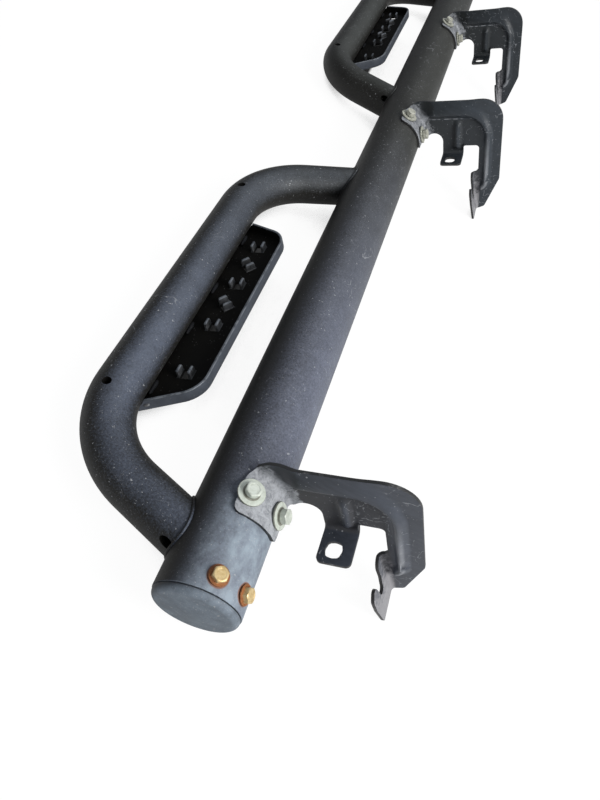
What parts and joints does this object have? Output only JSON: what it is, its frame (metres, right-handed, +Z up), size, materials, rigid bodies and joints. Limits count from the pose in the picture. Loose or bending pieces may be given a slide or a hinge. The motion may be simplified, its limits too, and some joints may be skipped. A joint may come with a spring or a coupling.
{
  "type": "running board",
  "caption": "Hoop-step running board: a long round tube with bent drop hoops carrying cleated tread pans, and stamped brackets that bolt it along a vehicle's side; lies underside up.",
  "frame": {"origin": "middle of the footprint, on the ground that the board lies on", "axes": "+X towards the vehicle, +Y along the main tube from the end near the viewer to the far end, +Z up in the lying pose, which is underside up"},
  "size_m": [0.3578, 1.528, 0.1624],
  "materials": {
    "powder_coat": "fine textured black powder coat, worn and dusty",
    "bracket_coat": "satin black coat, bare grey at the edges",
    "pan_coat": "satin black coat, dusty inside",
    "cap_coat": "fine textured black",
    "zinc": "dull pale zinc plating",
    "yellow_zinc": "yellow zinc plating, rusty flange",
    "plain_steel": "plain steel"
  },
  "bodies": {
    "root": {"front_bracket": "bracket_coat", "front_bracket_bolt_1": "zinc", "front_bracket_bolt_2": "zinc", "front_bracket_nut_1": "plain_steel", "front_bracket_nut_2": "plain_steel", "front_bracket_washer_1": "zinc", "front_bracket_washer_2": "zinc", "front_cap_bolt_1": "yellow_zinc", "front_cap_bolt_2": "yellow_zinc", "front_cap_nut_1": "plain_steel", "front_cap_nut_2": "plain_steel", "front_end_cap": "cap_coat", "front_hoop": "powder_coat", "front_hoop_weld_1": "powder_coat", "front_hoop_weld_2": "powder_coat", "front_tread": "pan_coat", "front_tread_weld_1": "powder_coat", "front_tread_weld_2": "powder_coat", "front_tread_weld_3": "powder_coat", "front_tread_weld_4": "powder_coat", "main_tube": "powder_coat", "middle_bracket": "bracket_coat", "middle_bracket_bolt_1": "zinc", "middle_bracket_bolt_2": "zinc", "middle_bracket_nut_1": "plain_steel", "middle_bracket_nut_2": "plain_steel", "middle_bracket_washer_1": "zinc", "middle_bracket_washer_2": "zinc", "rear_bracket": "bracket_coat", "rear_bracket_bolt_1": "zinc", "rear_bracket_bolt_2": "zinc", "rear_bracket_nut_1": "plain_steel", "rear_bracket_nut_2": "plain_steel", "rear_bracket_washer_1": "zinc", "rear_bracket_washer_2": "zinc", "rear_cap_bolt_1": "yellow_zinc", "rear_cap_bolt_2": "yellow_zinc", "rear_cap_nut_1": "plain_steel", "rear_cap_nut_2": "plain_steel", "rear_end_cap": "cap_coat", "rear_hoop": "powder_coat", "rear_hoop_weld_1": "powder_coat", "rear_hoop_weld_2": "powder_coat", "rear_tread": "pan_coat", "rear_tread_weld_1": "powder_coat", "rear_tread_weld_2": "powder_coat", "rear_tread_weld_3": "powder_coat", "rear_tread_weld_4": "powder_coat"}
  },
  "joints": []
}
